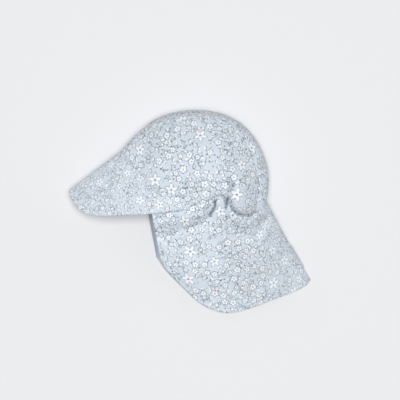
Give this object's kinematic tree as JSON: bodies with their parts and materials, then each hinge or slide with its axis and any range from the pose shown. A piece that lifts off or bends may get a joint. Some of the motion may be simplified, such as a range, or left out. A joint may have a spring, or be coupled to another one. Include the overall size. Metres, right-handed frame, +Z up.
{
  "type": "legionnaire cap",
  "caption": "Soft cotton sun cap for a small child, with a rounded crown, a wide soft peak and a long flap over the neck, lying on its side.",
  "frame": {"origin": "on the surface that the cap lies on, under the middle of its outline", "axes": "+X from the tip of the peak towards the back corner of the neck flap, +Y from the hem of the flap towards the top of the crown, +Z up from the surface, towards the wearer's left"},
  "size_m": [0.312, 0.261, 0.112],
  "materials": {
    "side_panel_left": "matt woven cotton, pale blue with small white flowers",
    "side_panel_right": "matt woven cotton, pale blue with small white flowers",
    "centre_band": "matt woven cotton, pale blue with small white flowers",
    "peak": "matt woven cotton, pale blue with small white flowers",
    "neck_flap": "matt woven cotton, pale blue with small white flowers"
  },
  "bodies": {
    "root": {"side_panel_left": "side_panel_left", "side_panel_right": "side_panel_right", "centre_band": "centre_band", "peak": "peak", "neck_flap": "neck_flap"}
  },
  "joints": []
}
